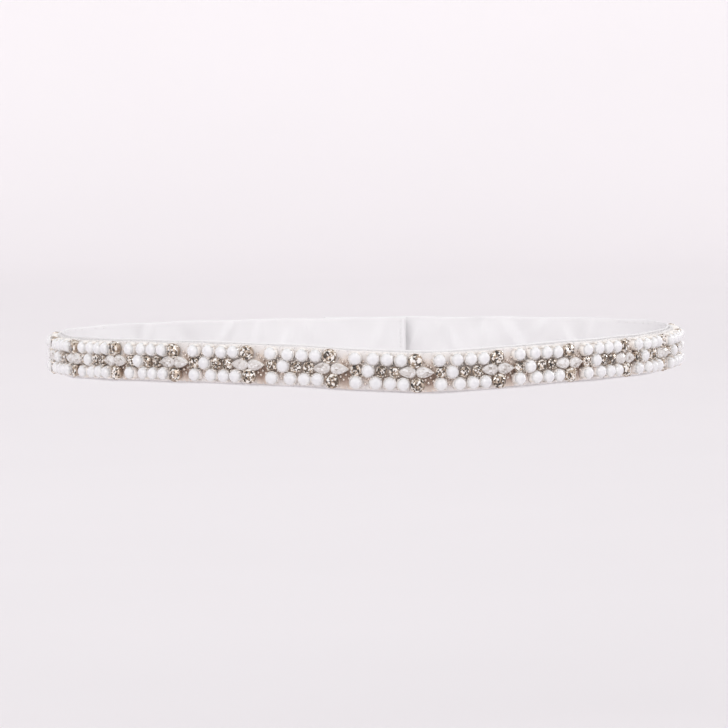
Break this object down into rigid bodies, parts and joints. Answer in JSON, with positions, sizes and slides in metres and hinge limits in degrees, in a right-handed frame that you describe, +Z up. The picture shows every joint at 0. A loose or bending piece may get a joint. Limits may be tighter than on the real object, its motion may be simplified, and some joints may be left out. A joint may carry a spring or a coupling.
{
  "type": "bridal sash",
  "caption": "Narrow white satin bridal sash in its worn ring, hooked at the back, with a beaded trim of opal beads and clear stones round the front.",
  "frame": {"origin": "middle of the waist, halfway across the ring and halfway up the band", "axes": "+Z up, -Y out of the front of the waist, +X to the wearer's left"},
  "size_m": [0.2288, 0.183, 0.0185],
  "materials": {
    "satin": "white satin ribbon",
    "beading": "opal and clear glass in silver claw cups",
    "wire": "nickel-plated wire"
  },
  "bodies": {
    "root": {"waist_ribbon": "satin", "trim_right_side": "beading", "trim_front": "beading", "trim_left_side": "beading", "hook": "wire", "bar": "wire"}
  },
  "joints": []
}
